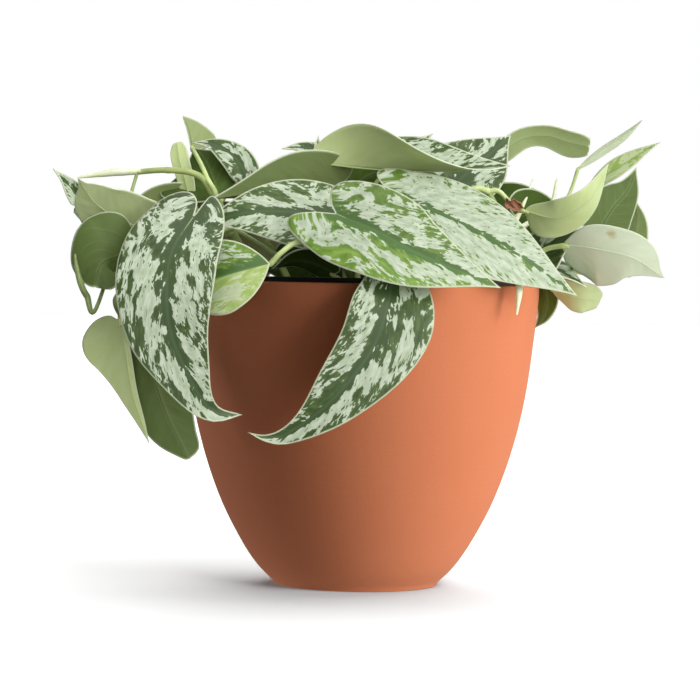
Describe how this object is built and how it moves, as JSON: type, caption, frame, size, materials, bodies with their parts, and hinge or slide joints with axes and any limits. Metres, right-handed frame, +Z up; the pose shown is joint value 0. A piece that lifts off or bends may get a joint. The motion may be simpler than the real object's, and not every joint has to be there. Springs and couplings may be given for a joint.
{
  "type": "satin pothos in a terracotta cover pot",
  "caption": "Trailing satin pothos with silver-marked heart-shaped leaves, growing in a black nursery pot that stands in a tapered terracotta cover pot.",
  "frame": {"origin": "centre of the cover pot's flat underside, on the surface that it stands on", "axes": "+Z up; -Y is the side that the picture shows, with +X to the right there"},
  "size_m": [0.2873, 0.2014, 0.2252],
  "materials": {
    "terracotta": "matt unglazed fired clay",
    "black_plastic": "satin black polypropylene",
    "potting_soil": "dark crumbly peat",
    "leaf": "satin leaf with silver patches above and plain olive below"
  },
  "bodies": {
    "root": {"cover_pot": "terracotta", "nursery_pot": "black_plastic", "soil": "potting_soil", "vine_left": "leaf", "vine_front": "leaf", "vine_right": "leaf", "vine_centre": "leaf", "vine_far_right": "leaf", "vine_back_left": "leaf", "vine_back_right": "leaf", "vine_back_top": "leaf"}
  },
  "joints": []
}
